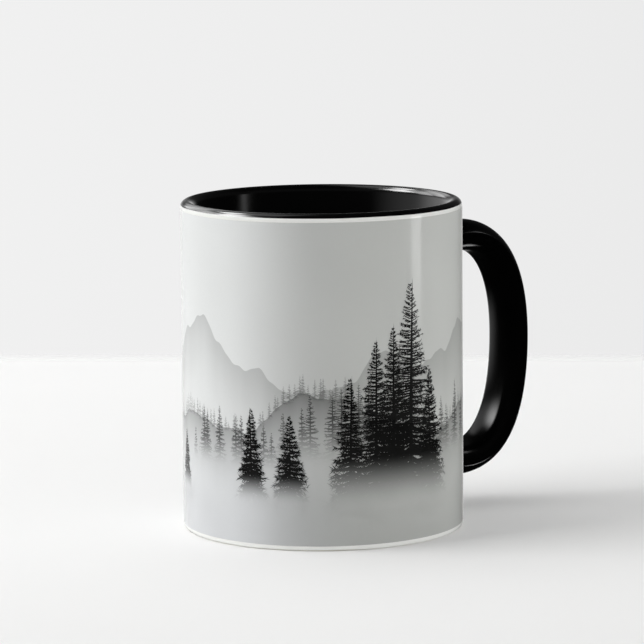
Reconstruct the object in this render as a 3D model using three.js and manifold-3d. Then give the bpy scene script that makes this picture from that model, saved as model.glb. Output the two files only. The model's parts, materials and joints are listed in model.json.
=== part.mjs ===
// Two-tone ceramic mug: a straight cup, a handle luted to its wall with slip, four coats of glaze
// and a printed wrap.
// Units are millimetres. +Z is up, the handle points along +X, and the foot ring stands on z = 0.
import * as THREE from "three";
import { mergeVertices } from "three/addons/utils/BufferGeometryUtils.js";
import Module from "manifold-3d";

const wasm = await Module();
wasm.setup();

// Cup, measured over its glaze
const CUP_DIAMETER = 82;
const CUP_HEIGHT = 96.3;
const RIM_WALL = 3.9; // at the lip, which is a full round
const BASE_WALL = 5; // where the inside wall meets the floor fillet
const FLOOR_THICKNESS = 6; // from the table to the floor of the cup
const FLOOR_FILLET = 9;
const FOOT_EDGE = 1.5; // round at the outside of the foot
const FOOT_RING = 3.6; // width of the bare flat ring that the cup stands on
const FOOT_BARE = 0.35; // height at which the outer glaze is wiped off
const BASE_RECESS = 2; // height of the glazed ceiling under the cup
const RECESS_FILLET = 1.2;

// Coats
const GLAZE = 0.35;
const LAYER_GAP = 0.05; // hair gap between a coat and what it covers
const LINER_LAP = 1.22; // how far the liner glaze comes down the outside of the lip
const FILM = 0.1;
const PRINT_WIDTH = 228; // round the wall
const PRINT_TOP_MARGIN = 2.4;
const PRINT_BOTTOM_MARGIN = 1.6;

// Handle, measured over its glaze
const HANDLE_REACH = 36.3; // from the wall to the outermost point of the crown
const HANDLE_WIDTH = 13.4; // across the two edges of the crown
const FINGER_SIDE_WIDTH = 13; // across the bowed inner face and its corners
const HANDLE_THICKNESS = 9.4;
const CROWN_HEIGHT = 3.6;
const CROWN_EDGE = 0.9; // corner radius at each side of the crown
const FINGER_BOW = 0.9; // height of the inner face's bow, over its full width
const FINGER_EDGE = 3.5; // corner radius at each side of the inner face
const UPPER_ROOT_DROP = 16.3; // from the lip down to the middle of the upper root
const LOWER_ROOT_HEIGHT = 15.1; // from the table up to the middle of the lower root
const GRIP_RAISE = 1.8; // of the outermost point over the middle of the two roots
const UPPER_ROOT_RISE = 17; // degrees above level, leaving the wall
const LOWER_ROOT_DIP = 18.5; // degrees below level, leaving the wall
// How square each half of the handle's curve is: 0.55 is an ellipse and 1 a corner
const UPPER_FULLNESS = 0.73;
const LOWER_FULLNESS = 0.745;
const ROOT_FILLET = 1.6; // where the handle runs out on the wall
const SLIP_JOINT = 3; // length of the luted root, out from the wall
const SEAT_GAP = 0.3; // between pieces that are trimmed to each other

// Facets
const CUP_FACETS = 60;
const ARC_STEP = 30; // degrees, on small rounds
const FILLET_STEPS = 5;
const CROWN_STEPS = 6;
const CROWN_EDGE_STEPS = 2;
const FINGER_STEPS = 2;
const FINGER_EDGE_STEPS = 4;
const GRIP_STEP = 4.5;
const ROOT_STEP = 0.8;

const wall = CUP_DIAMETER / 2;
const lip = RIM_WALL / 2;
const coat = GLAZE + LAYER_GAP;
const clayWall = wall - coat;
const facet = (2 * Math.PI) / CUP_FACETS;
const printInside = wall + LAYER_GAP;
const printOutside = printInside + FILM;
const jointEnd = wall + SLIP_JOINT;
const rootDepth = HANDLE_THICKNESS; // the slanted ends of the handle's loft lie this far inside the wall

const { degToRad, radToDeg } = THREE.MathUtils;

// Materials
const glazeOf = (color) => new THREE.MeshStandardMaterial({ color, roughness: 0.08, metalness: 0 });
const bisque = new THREE.MeshStandardMaterial({ color: 0xe6e2d8, roughness: 0.75, metalness: 0 });
const slip = new THREE.MeshStandardMaterial({ color: 0xd9d3c6, roughness: 0.85, metalness: 0 });
const whiteGlaze = glazeOf(0xf2f2ef);
const blackGlaze = glazeOf(0x0a0a0b);
const printInk = new THREE.MeshStandardMaterial({ color: 0xc4c7ca, roughness: 0.12, metalness: 0 });

// Solids

function solidOf(geometry) {
  geometry.deleteAttribute("normal");
  geometry.deleteAttribute("uv");
  const merged = mergeVertices(geometry);
  const vertProperties = merged.attributes.position.array;
  const triVerts = new Uint32Array(merged.index.array);
  return new wasm.Manifold(new wasm.Mesh({ numProp: 3, vertProperties, triVerts }));
}

function geometryOf(solid) {
  const { vertProperties, triVerts } = solid.getMesh();
  const geometry = new THREE.BufferGeometry();
  geometry.setAttribute("position", new THREE.BufferAttribute(vertProperties, 3));
  geometry.setIndex(new THREE.BufferAttribute(triVerts, 1));
  geometry.computeVertexNormals();
  return geometry;
}

// Revolves

// Points on an arc of the cup's half section, where x is the radius and y the height.
function arc(centre, radius, start, end, steps = Math.ceil(Math.abs(end - start) / ARC_STEP)) {
  return Array.from({ length: steps + 1 }, (_, i) => {
    const angle = degToRad(start + ((end - start) * i) / steps);
    return new THREE.Vector2(centre.x + radius * Math.cos(angle), centre.y + radius * Math.sin(angle));
  });
}

function revolve(profile) {
  return new THREE.LatheGeometry(profile, CUP_FACETS).rotateX(Math.PI / 2);
}

function ring(inner, outer, low, high) {
  const corners = [
    [inner, low],
    [outer, low],
    [outer, high],
    [inner, high],
    [inner, low],
  ];
  return solidOf(revolve(corners.map(([r, z]) => new THREE.Vector2(r, z))));
}

// A plain round that covers the cup's whole height and some more, for trimming the handle to the wall.
function wallCutter(radius) {
  const corners = [
    [0, -CUP_HEIGHT],
    [radius, -CUP_HEIGHT],
    [radius, 2 * CUP_HEIGHT],
    [0, 2 * CUP_HEIGHT],
  ];
  return solidOf(revolve(corners.map(([r, z]) => new THREE.Vector2(r, z))));
}

// Cup

const lipCentre = new THREE.Vector2(wall - lip, CUP_HEIGHT - lip);
const footCentre = new THREE.Vector2(wall - FOOT_EDGE, FOOT_EDGE - coat);
const floorCentre = new THREE.Vector2(wall - BASE_WALL - FLOOR_FILLET, FLOOR_THICKNESS + FLOOR_FILLET);
const recessWall = wall - FOOT_EDGE - FOOT_RING - coat;
const recessCentre = new THREE.Vector2(recessWall - RECESS_FILLET, BASE_RECESS - RECESS_FILLET);
const lapAngle = radToDeg(Math.asin(1 - LINER_LAP / lip));
const lapGap = radToDeg(LAYER_GAP / lip);
const wipeAngle = radToDeg(Math.asin((FOOT_BARE - footCentre.y) / FOOT_EDGE));

// Each run of the half section lies at a depth under the finished glaze.
function outsideRun(depth, footStart, lipEnd) {
  return [
    ...arc(footCentre, FOOT_EDGE - depth, footStart, 0),
    ...arc(lipCentre, lip - depth, 0, lipEnd),
  ];
}

function insideRun(depth, lipStart) {
  return [
    ...arc(lipCentre, lip - depth, lipStart, 180),
    ...arc(floorCentre, FLOOR_FILLET + depth, 0, -90, FILLET_STEPS),
    new THREE.Vector2(0, FLOOR_THICKNESS - depth),
  ];
}

function undersideRun(depth) {
  return [
    new THREE.Vector2(0, BASE_RECESS + depth),
    ...arc(recessCentre, RECESS_FILLET + depth, 90, 0),
  ];
}

function ceramicBody() {
  const overLip = insideRun(coat, lapAngle).slice(1);
  return revolve([
    ...undersideRun(coat),
    new THREE.Vector2(recessWall + coat, 0),
    ...outsideRun(coat, -90, lapAngle),
    ...overLip,
  ]);
}

function linerGlaze() {
  const start = lapAngle + lapGap;
  return revolve([...insideRun(GLAZE, start).reverse(), ...insideRun(0, start)]);
}

// The handle's roots reach the clay through two openings in this coat.
function outerGlaze() {
  const front = outsideRun(0, wipeAngle, lapAngle);
  const back = outsideRun(GLAZE, wipeAngle, lapAngle).reverse();
  const coatRing = solidOf(revolve([...front, ...back, front[0]]));
  return geometryOf(coatRing.subtract(handleLoft(0)));
}

function baseGlaze() {
  return revolve([...undersideRun(0), ...undersideRun(GLAZE).reverse()]);
}

// The film ends on facet lines of the wall, so the two stay parallel, and leaves the handle clear.
function printWrap() {
  const half = facet * Math.round(PRINT_WIDTH / wall / facet / 2);
  const outline = new THREE.Shape();
  outline.absarc(0, 0, printOutside, Math.PI - half, Math.PI + half, false);
  outline.absarc(0, 0, printInside, Math.PI + half, Math.PI - half, true);
  const curveSegments = Math.round((2 * half) / facet);
  const depth = CUP_HEIGHT - PRINT_TOP_MARGIN - PRINT_BOTTOM_MARGIN;
  const film = new THREE.ExtrudeGeometry(outline, { depth, curveSegments, bevelEnabled: false });
  return film.translate(0, 0, PRINT_BOTTOM_MARGIN);
}

// Handle

// Centre line in the XZ plane, from inside the wall at the upper root round to inside it at the lower one.
function handlePath() {
  const upperRoot = new THREE.Vector3(wall, 0, CUP_HEIGHT - UPPER_ROOT_DROP);
  const lowerRoot = new THREE.Vector3(wall, 0, LOWER_ROOT_HEIGHT);
  const gripHeight = (upperRoot.z + lowerRoot.z) / 2 + GRIP_RAISE;
  const grip = new THREE.Vector3(wall + HANDLE_REACH - HANDLE_THICKNESS / 2, 0, gripHeight);
  const span = grip.x - wall;
  const rise = degToRad(UPPER_ROOT_RISE);
  const dip = degToRad(LOWER_ROOT_DIP);
  const upperOut = new THREE.Vector3(Math.cos(rise), 0, Math.sin(rise));
  const lowerOut = new THREE.Vector3(Math.cos(dip), 0, -Math.sin(dip));
  const up = new THREE.Vector3(0, 0, 1);
  const along = (from, direction, distance) => from.clone().addScaledVector(direction, distance);

  const path = new THREE.CurvePath();
  path.add(new THREE.LineCurve3(along(upperRoot, upperOut, -rootDepth), upperRoot));
  path.add(
    new THREE.CubicBezierCurve3(
      upperRoot,
      along(upperRoot, upperOut, UPPER_FULLNESS * span),
      along(grip, up, UPPER_FULLNESS * (upperRoot.z - grip.z)),
      grip,
    ),
  );
  path.add(
    new THREE.CubicBezierCurve3(
      grip,
      along(grip, up, LOWER_FULLNESS * (lowerRoot.z - grip.z)),
      along(lowerRoot, lowerOut, LOWER_FULLNESS * span),
      lowerRoot,
    ),
  );
  path.add(new THREE.LineCurve3(lowerRoot, along(lowerRoot, lowerOut, -rootDepth)));
  return path;
}

// Places along the centre line: close together where the roots flare, wider apart round the grip.
function handleStations(path) {
  const spaced = (from, to, step) => {
    const steps = Math.ceil((to - from) / step);
    return Array.from({ length: steps + 1 }, (_, i) => from + ((to - from) * i) / steps);
  };
  const length = path.getLength();
  const root = spaced(rootDepth - ROOT_FILLET, rootDepth + 2 * ROOT_FILLET, ROOT_STEP);
  const grip = spaced(root.at(-1), length - root.at(-1), GRIP_STEP).slice(1, -1);
  const otherRoot = root.map((distance) => length - distance).reverse();
  return [0, ...root, ...grip, ...otherRoot, length].map((distance) => distance / length);
}

// The section's corners and crown as a ring of arc points: growing every radius grows the outline evenly.
// x runs sideways and y from the finger side out to the crown, with the centre line at 0.
function handleSection() {
  const bowRadius = (half, bow) => (half ** 2 + bow ** 2) / (2 * bow);
  const halfWidth = HANDLE_WIDTH / 2;
  const crownRadius = bowRadius(halfWidth, CROWN_HEIGHT);
  const crownCentre = new THREE.Vector2(0, HANDLE_THICKNESS / 2 - crownRadius);
  const crownHalf = Math.asin((halfWidth - CROWN_EDGE) / (crownRadius - CROWN_EDGE));
  const edgeCentre = new THREE.Vector2(
    halfWidth - CROWN_EDGE,
    crownCentre.y + (crownRadius - CROWN_EDGE) * Math.cos(crownHalf),
  );
  const fingerHalf = FINGER_SIDE_WIDTH / 2;
  const faceRadius = bowRadius(fingerHalf, FINGER_BOW);
  const faceCentre = new THREE.Vector2(0, faceRadius - HANDLE_THICKNESS / 2);
  const faceHalf = Math.asin((fingerHalf - FINGER_EDGE) / (faceRadius - FINGER_EDGE));
  const fingerCentre = new THREE.Vector2(
    fingerHalf - FINGER_EDGE,
    faceCentre.y - (faceRadius - FINGER_EDGE) * Math.cos(faceHalf),
  );
  const between = edgeCentre.clone().sub(fingerCentre);
  const sideAngle = between.angle() - Math.acos((FINGER_EDGE - CROWN_EDGE) / between.length());
  const edgeAngle = Math.PI / 2 - crownHalf;
  const down = -Math.PI / 2;

  const round = (centre, radius, start, end, steps) =>
    Array.from({ length: steps + 1 }, (_, i) => ({
      centre,
      radius,
      angle: start + ((end - start) * i) / steps,
    }));
  const mirrored = (points) =>
    points
      .map(({ centre, radius, angle }) => ({
        centre: new THREE.Vector2(-centre.x, centre.y),
        radius,
        angle: Math.PI - angle,
      }))
      .reverse();

  const face = round(faceCentre, faceRadius, down - faceHalf, down + faceHalf, FINGER_STEPS);
  const fingerCorner = round(fingerCentre, FINGER_EDGE, down + faceHalf, sideAngle, FINGER_EDGE_STEPS);
  const crownCorner = round(edgeCentre, CROWN_EDGE, sideAngle, edgeAngle, CROWN_EDGE_STEPS);
  const crown = round(crownCentre, crownRadius, edgeAngle, Math.PI - edgeAngle, CROWN_STEPS);
  const right = [...fingerCorner, ...crownCorner];
  return [...right, ...crown.slice(1, -1), ...mirrored(right), ...face.slice(1, -1)];
}

// How far the root stands out from the section, at a distance from the wall: a quarter round.
function rootFlare(distance) {
  const up = ROOT_FILLET - THREE.MathUtils.clamp(distance, SEAT_GAP, ROOT_FILLET);
  return ROOT_FILLET - Math.sqrt(ROOT_FILLET ** 2 - up ** 2);
}

// The whole handle at a depth under its finished glaze, with flared roots that run on into the wall.
function handleLoft(depth) {
  const path = handlePath();
  const section = handleSection();
  const stations = handleStations(path);
  const count = section.length;
  const positions = [];
  for (const station of stations) {
    const centre = path.getPoint(station);
    const tangent = path.getTangent(station);
    const outward = new THREE.Vector3(-tangent.z, 0, tangent.x);
    const sideways = new THREE.Vector3(0, 1, 0);
    for (const { centre: corner, radius, angle } of section) {
      const place = (grow) =>
        centre
          .clone()
          .addScaledVector(sideways, corner.x + (radius + grow) * Math.cos(angle))
          .addScaledVector(outward, corner.y + (radius + grow) * Math.sin(angle));
      const bare = place(-depth);
      const fromWall = Math.hypot(bare.x, bare.y) - wall;
      positions.push(...place(rootFlare(fromWall) - depth).toArray());
    }
  }

  const faces = [];
  for (let ringStart = 0; ringStart < (stations.length - 1) * count; ringStart += count) {
    for (let i = 0; i < count; i++) {
      const a = ringStart + i;
      const b = ringStart + ((i + 1) % count);
      faces.push(a, b, b + count, a, b + count, a + count);
    }
  }
  const last = (stations.length - 1) * count;
  for (let i = 1; i < count - 1; i++) {
    faces.push(0, i + 1, i, last, last + i, last + i + 1);
  }
  const geometry = new THREE.BufferGeometry();
  geometry.setAttribute("position", new THREE.Float32BufferAttribute(positions, 3));
  geometry.setIndex(faces);
  return solidOf(geometry);
}

function handleCore() {
  return geometryOf(handleLoft(coat).subtract(wallCutter(jointEnd + SEAT_GAP)));
}

function handleGlaze() {
  const sleeve = handleLoft(0).subtract(handleLoft(GLAZE));
  return geometryOf(sleeve.subtract(wallCutter(wall + SEAT_GAP)));
}

// The slip between a handle end and the wall, with the fillet that it is wiped to.
function lutingJoint(low, high) {
  const seat = ring(clayWall + SEAT_GAP, jointEnd, low, high);
  return geometryOf(handleLoft(coat).intersect(seat));
}

// Assembly

const mug = new THREE.Group();
const cup = new THREE.Group();
const handle = new THREE.Group();
const axisOffset = (printOutside - wall - HANDLE_REACH) / 2; // centres the whole outline on the origin
cup.position.x = axisOffset;
handle.position.x = axisOffset;
mug.add(cup, handle);

function addPiece(group, name, geometry, material) {
  const piece = new THREE.Mesh(geometry, material);
  piece.name = name;
  group.add(piece);
}

const middle = CUP_HEIGHT / 2;
addPiece(cup, "ceramic_body", ceramicBody(), bisque);
addPiece(cup, "liner_glaze", linerGlaze(), blackGlaze);
addPiece(cup, "outer_glaze", outerGlaze(), whiteGlaze);
addPiece(cup, "base_glaze", baseGlaze(), whiteGlaze);
addPiece(cup, "print_wrap", printWrap(), printInk);
addPiece(handle, "handle_core", handleCore(), bisque);
addPiece(handle, "handle_glaze", handleGlaze(), blackGlaze);
addPiece(handle, "upper_luting_joint", lutingJoint(middle, CUP_HEIGHT), slip);
addPiece(handle, "lower_luting_joint", lutingJoint(0, middle), slip);

export default mug;
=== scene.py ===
"""Looks of a two-tone ceramic mug: clay, coats of glaze, a printed wrap and a handle as fine surfaces.

Every piece is worked out from the mug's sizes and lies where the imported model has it.
Lengths are in metres. Angles are in degrees where they are sizes and in radians inside formulas.
"""
import json
import logging
import math
from collections.abc import Sequence
from dataclasses import dataclass
from enum import Enum
from functools import cache

import bpy
import numpy as np
from mathutils import Matrix, Vector

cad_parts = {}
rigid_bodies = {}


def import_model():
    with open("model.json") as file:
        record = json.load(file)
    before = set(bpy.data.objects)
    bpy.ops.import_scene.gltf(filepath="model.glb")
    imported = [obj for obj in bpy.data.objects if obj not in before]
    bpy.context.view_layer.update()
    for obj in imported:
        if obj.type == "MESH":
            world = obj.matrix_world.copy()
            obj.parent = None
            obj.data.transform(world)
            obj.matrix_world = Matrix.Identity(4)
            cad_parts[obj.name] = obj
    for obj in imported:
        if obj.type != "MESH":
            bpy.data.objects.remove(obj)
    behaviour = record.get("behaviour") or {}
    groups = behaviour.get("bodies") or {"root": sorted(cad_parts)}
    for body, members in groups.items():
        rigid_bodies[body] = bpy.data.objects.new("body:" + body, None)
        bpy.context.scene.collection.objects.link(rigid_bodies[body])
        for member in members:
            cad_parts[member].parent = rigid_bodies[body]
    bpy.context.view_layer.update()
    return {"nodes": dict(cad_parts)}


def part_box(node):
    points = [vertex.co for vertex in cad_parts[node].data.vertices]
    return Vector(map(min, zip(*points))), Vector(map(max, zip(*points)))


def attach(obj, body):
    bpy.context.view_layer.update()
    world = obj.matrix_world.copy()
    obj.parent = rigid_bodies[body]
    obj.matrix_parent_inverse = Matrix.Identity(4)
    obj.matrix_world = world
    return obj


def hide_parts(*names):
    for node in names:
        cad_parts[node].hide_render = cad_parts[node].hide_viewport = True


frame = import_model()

MM = 0.001
BODY = "root"
INK = "ink"  # colour attribute of the printed layers
COVER = "cover"  # attribute of the table top: 1 where it hides what lies behind, 0 at its far edge
PAINTED_LIGHT = "tone"  # attribute of the table top: factor on its colour that paints light, darker at the front and brighter towards the far edge
SHARP_EDGE = 35.0

Colour = tuple[float, float, float]
Span = tuple[float, float]
Socket = bpy.types.NodeSocket

log = logging.getLogger("mug")


class Slot(Enum):
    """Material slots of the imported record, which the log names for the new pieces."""

    BISQUE = "bisque"
    BLACK_GLAZE = "black_glaze"
    WHITE_GLAZE = "white_glaze"
    PRINT_FILM = "print_film"


# Surfaces


@dataclass
class Surface:
    """A mesh on its way into Blender.

    points has a row for each vertex. Each array in faces has a row for each face, and faces of one
    array have the same number of corners.
    """

    points: np.ndarray
    faces: list[np.ndarray]

    def volume(self) -> float:
        """Sums the triple products of all triangles' corners and divides by six.

        Returns:
            The volume, which is negative if the faces point inwards.
        """
        total = 0.0
        for block in self.faces:
            corners = self.points[block]
            for k in range(1, block.shape[1] - 1):
                across = np.cross(corners[:, k], corners[:, k + 1])
                total += float(np.sum(corners[:, 0] * across)) / 6
        return total

    def facing_out(self) -> "Surface":
        """The same closed surface with its faces pointing outwards."""
        if self.volume() > 0:
            return self
        return Surface(self.points, [block[:, ::-1] for block in self.faces])

    def build(self, name: str) -> bpy.types.Object:
        """Puts the surface into Blender.

        Args:
            name: Name of the object and of its mesh.

        Returns:
            The object, at the origin, smooth but for its sharp edges.
        """
        mesh = bpy.data.meshes.new(name)
        faces = [face for block in self.faces for face in block.tolist()]
        mesh.from_pydata(self.points.tolist(), [], faces)
        mesh.polygons.foreach_set("use_smooth", np.ones(len(mesh.polygons), dtype=bool))
        mesh.set_sharp_from_angle(angle=math.radians(SHARP_EDGE))
        mesh.update()
        piece = bpy.data.objects.new(name, mesh)
        bpy.context.scene.collection.objects.link(piece)
        return piece


def grid_quads(rows: int, columns: int, close_rows: bool, close_columns: bool) -> np.ndarray:
    """Faces of a grid whose points are numbered row by row.

    Args:
        rows: Number of rows of points.
        columns: Number of points in a row.
        close_rows: Whether the last row joins the first.
        close_columns: Whether the last column joins the first.

    Returns:
        One row of four point numbers for each face.
    """
    row = np.arange(rows if close_rows else rows - 1)[:, None]
    column = np.arange(columns if close_columns else columns - 1)[None, :]
    below = row * columns
    above = (row + 1) % rows * columns
    after = (column + 1) % columns
    corners = np.broadcast_arrays(below + column, below + after, above + after, above + column)
    return np.stack(corners, axis=-1).reshape(-1, 4)


def smooth_step(value: np.ndarray, low: float, high: float) -> np.ndarray:
    """Rises from 0 at low to 1 at high along 3t^2 - 2t^3; low may be the larger of the two."""
    share = np.clip((value - low) / (high - low), 0.0, 1.0)
    return share * share * (3.0 - 2.0 * share)


def dress(piece: bpy.types.Object, material: bpy.types.Material, slot: Slot, *nodes: str) -> None:
    """Gives a piece its finish and its body, hides the CAD nodes that it stands for, and logs it with
    its slot.

    Args:
        piece: The object.
        material: Its finish.
        slot: The record's slot for that finish.
        nodes: CAD nodes that the piece replaces.
    """
    piece.data.materials.append(material)
    piece.visible_glossy = False  # gloss shows the studio, and none of the other pieces
    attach(piece, BODY)
    if nodes:
        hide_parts(*nodes)
    log.info("%s: %d faces, %s", piece.name, len(piece.data.polygons), slot.value)


# Finishes

WHOLE = (0.0, 1.0)  # span of a share
NOISE_SPAN = (0.3, 0.7)  # where nearly all of a noise's values lie
SMEAR_FACTORS = (0.85, 1.2)  # on a gloss coat's roughness, at the ends of that span


@dataclass(frozen=True)
class Cloud:
    """A cloudy noise."""

    size: float  # width of its largest blotches
    detail: float = 0.0  # number of finer octaves
    rough: float = 0.5  # strength of each octave against the one before


class NodeBench:
    """A node tree with short calls for the nodes that the finishes share."""

    def __init__(self, tree: bpy.types.NodeTree) -> None:
        """Takes the tree to work on."""
        self.tree = tree

    def node(self, kind: str, **settings: object) -> bpy.types.Node:
        """Adds a node.

        Args:
            kind: Its type.
            settings: Values of its properties.

        Returns:
            The node.
        """
        made = self.tree.nodes.new(kind)
        for name, value in settings.items():
            setattr(made, name, value)
        return made

    def feed(self, socket: Socket, source: object) -> None:
        """Links an output to a socket, or sets the socket's own value.

        Args:
            socket: The input.
            source: An output, or the value.
        """
        if isinstance(source, Socket):
            self.tree.links.new(source, socket)
        else:
            socket.default_value = source

    def place(self) -> Socket:
        """Object coordinates, which are metres in the mug's frame."""
        return self.node("ShaderNodeTexCoord").outputs["Object"]

    def noise(self, where: Socket, cloud: Cloud) -> Socket:
        """Cloudy noise.

        Args:
            where: Coordinates in metres.
            cloud: What it is like.

        Returns:
            The noise, from 0 to 1.
        """
        made = self.node("ShaderNodeTexNoise")
        self.feed(made.inputs["Vector"], where)
        self.feed(made.inputs["Scale"], 1.0 / cloud.size)
        self.feed(made.inputs["Detail"], cloud.detail)
        self.feed(made.inputs["Roughness"], cloud.rough)
        return made.outputs["Fac"]

    def spots(self, where: Socket, gap: float) -> Socket:
        """Distance to the nearest of many scattered points.

        Args:
            where: Coordinates in metres.
            gap: Spacing of the points.

        Returns:
            The distance, in units of the spacing.
        """
        made = self.node("ShaderNodeTexVoronoi")
        self.feed(made.inputs["Vector"], where)
        self.feed(made.inputs["Scale"], 1.0 / gap)
        return made.outputs["Distance"]

    def spread(
        self, value: Socket, span: Span, start: float = 0.0, end: float = 1.0, curve: str = "LINEAR"
    ) -> Socket:
        """Maps a span of values onto another span, held at both ends.

        Args:
            value: The value.
            span: The two values that become start and end.
            start: Result at the first of them.
            end: Result at the second.
            curve: How the result goes from start to end.

        Returns:
            The result.
        """
        made = self.node("ShaderNodeMapRange", interpolation_type=curve)
        self.feed(made.inputs["Value"], value)
        names = ("From Min", "From Max", "To Min", "To Max")
        for name, number in zip(names, (*span, start, end)):
            self.feed(made.inputs[name], number)
        return made.outputs["Result"]

    def maths(self, operation: str, first: object, second: object = 0.0) -> Socket:
        """Two numbers put together.

        Args:
            operation: A Math node's operation.
            first: The first number.
            second: The second one, where the operation has one.

        Returns:
            The result.
        """
        made = self.node("ShaderNodeMath", operation=operation)
        self.feed(made.inputs[0], first)
        self.feed(made.inputs[1], second)
        return made.outputs[0]

    def product(self, *factors: Socket) -> Socket:
        """Numbers multiplied together.

        Args:
            factors: The numbers.

        Returns:
            Their product.
        """
        result = factors[0]
        for factor in factors[1:]:
            result = self.maths("MULTIPLY", result, factor)
        return result

    def along(self, vector: Socket, direction: Vector) -> Socket:
        """A vector's reach along a direction.

        Args:
            vector: The vector.
            direction: The direction, of length 1.

        Returns:
            Their dot product.
        """
        made = self.node("ShaderNodeVectorMath", operation="DOT_PRODUCT")
        self.feed(made.inputs[0], vector)
        self.feed(made.inputs[1], direction)
        return made.outputs["Value"]

    def mix(self, share: object, first: object, second: object, blend: str = "MIX") -> Socket:
        """Two colours mixed.

        Args:
            share: Share of the second colour.
            first: The first colour.
            second: The second colour.
            blend: How they are mixed.

        Returns:
            The mixed colour.
        """
        made = self.node("ShaderNodeMix", data_type="RGBA", blend_type=blend)
        self.feed(made.inputs["Factor"], share)
        ends = {"A": first, "B": second}
        for socket in made.inputs:
            if socket.type == "RGBA":
                self.feed(socket, ends[socket.name])
        return next(socket for socket in made.outputs if socket.type == "RGBA")

    def bump(self, height: Socket, depth: float, below: Socket | None = None) -> Socket:
        """Relief from a height of 0 to 1.

        Args:
            height: The height.
            depth: What a height of 1 stands for, in metres.
            below: Normal of the relief that it lies on.

        Returns:
            The normal.
        """
        made = self.node("ShaderNodeBump")
        self.feed(made.inputs["Height"], height)
        self.feed(made.inputs["Distance"], depth)
        if below:
            self.feed(made.inputs["Normal"], below)
        return made.outputs["Normal"]

    def gloss(self, where: Socket, smear: Cloud, roughness: float) -> Socket:
        """Roughness of a gloss coat, which differs a little from smear to smear.

        Args:
            where: Coordinates in metres.
            smear: What the smears are like.
            roughness: About its mean.

        Returns:
            The roughness.
        """
        ends = (factor * roughness for factor in SMEAR_FACTORS)
        return self.spread(self.noise(where, smear), NOISE_SPAN, *ends)


def rgba(colour: Colour) -> tuple[float, float, float, float]:
    """A colour as an opaque socket value."""
    return (*colour, 1.0)


def scaled(colour: Colour, factor: float) -> Colour:
    """A colour made lighter or darker."""
    return tuple(part * factor for part in colour)


def new_material(name: str) -> tuple[bpy.types.Material, NodeBench, bpy.types.Node]:
    """Starts a material.

    Args:
        name: Its name.

    Returns:
        The material, the bench for its nodes and its Principled shader.
    """
    material = bpy.data.materials.new(name)
    material.use_nodes = True
    return material, NodeBench(material.node_tree), material.node_tree.nodes["Principled BSDF"]


@dataclass(frozen=True)
class GlazeFinish:
    """Fired glaze: glassy, a little uneven in tone, with slow waves and a fine ripple in its surface."""

    name: str
    colour: Colour
    uneven: float  # share by which the tone drifts
    roughness: float
    specular: float = 0.5
    drift: Cloud = Cloud(28 * MM, 3.0)
    smear: Cloud = Cloud(14 * MM, 4.0, 0.6)
    wave: Cloud = Cloud(14 * MM)
    wave_depth: float = 0.02 * MM
    ripple: Cloud = Cloud(1.6 * MM, 1.0)
    ripple_depth: float = 0.0012 * MM

    @cache
    def material(self) -> bpy.types.Material:
        """Makes the material at the first call.

        Returns:
            The material.
        """
        material, bench, shader = new_material(self.name)
        where = bench.place()
        deep = rgba(scaled(self.colour, 1 - self.uneven))
        pale = rgba(scaled(self.colour, 1 + self.uneven))
        bench.feed(shader.inputs["Base Color"], bench.mix(bench.noise(where, self.drift), deep, pale))
        bench.feed(shader.inputs["Roughness"], bench.gloss(where, self.smear, self.roughness))
        waves = bench.bump(bench.noise(where, self.wave), self.wave_depth)
        ripple = bench.bump(bench.noise(where, self.ripple), self.ripple_depth, waves)
        bench.feed(shader.inputs["Normal"], ripple)
        shader.inputs["Specular IOR Level"].default_value = self.specular
        return material


@dataclass(frozen=True)
class ClayFinish:
    """Bare fired clay: matt, with a fine grain, drifting tone and a few iron specks."""

    name: str
    colour: Colour
    roughness: Span = (0.7, 0.88)  # at the ends of the grain
    drift: Cloud = Cloud(9 * MM, 4.0, 0.6)
    drift_tones: Span = (0.86, 1.1)  # factors on the colour at the ends of the drift
    grain: Cloud = Cloud(0.35 * MM, 3.0, 0.65)
    grain_span: Span = (0.35, 0.65)  # of the noise, over which the grain darkens
    grain_tone: float = 0.7  # factor on the colour that the grain darkens towards
    grain_share: float = 0.22  # how far it goes towards that
    grain_depth: float = 0.012 * MM
    speck: Colour = (0.2, 0.15, 0.1)
    speck_share: float = 0.7  # of a speck's own colour in its middle
    speck_gap: float = 3.2 * MM
    speck_edge: Span = (0.05, 0.09)  # distances from its middle between which it ends, against the gap

    @cache
    def material(self) -> bpy.types.Material:
        """Makes the material at the first call.

        Returns:
            The material.
        """
        material, bench, shader = new_material(self.name)
        where = bench.place()
        deep, pale = (rgba(scaled(self.colour, tone)) for tone in self.drift_tones)
        ground = bench.mix(bench.noise(where, self.drift), deep, pale)
        grain = bench.noise(where, self.grain)
        darker = bench.spread(grain, self.grain_span, 0.0, self.grain_share)
        ground = bench.mix(darker, ground, rgba(scaled(self.colour, self.grain_tone)))
        speck = bench.spread(bench.spots(where, self.speck_gap), self.speck_edge, self.speck_share, 0.0)
        bench.feed(shader.inputs["Base Color"], bench.mix(speck, ground, rgba(self.speck)))
        bench.feed(shader.inputs["Roughness"], bench.spread(grain, NOISE_SPAN, *self.roughness))
        bench.feed(shader.inputs["Normal"], bench.bump(grain, self.grain_depth))
        return material


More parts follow.
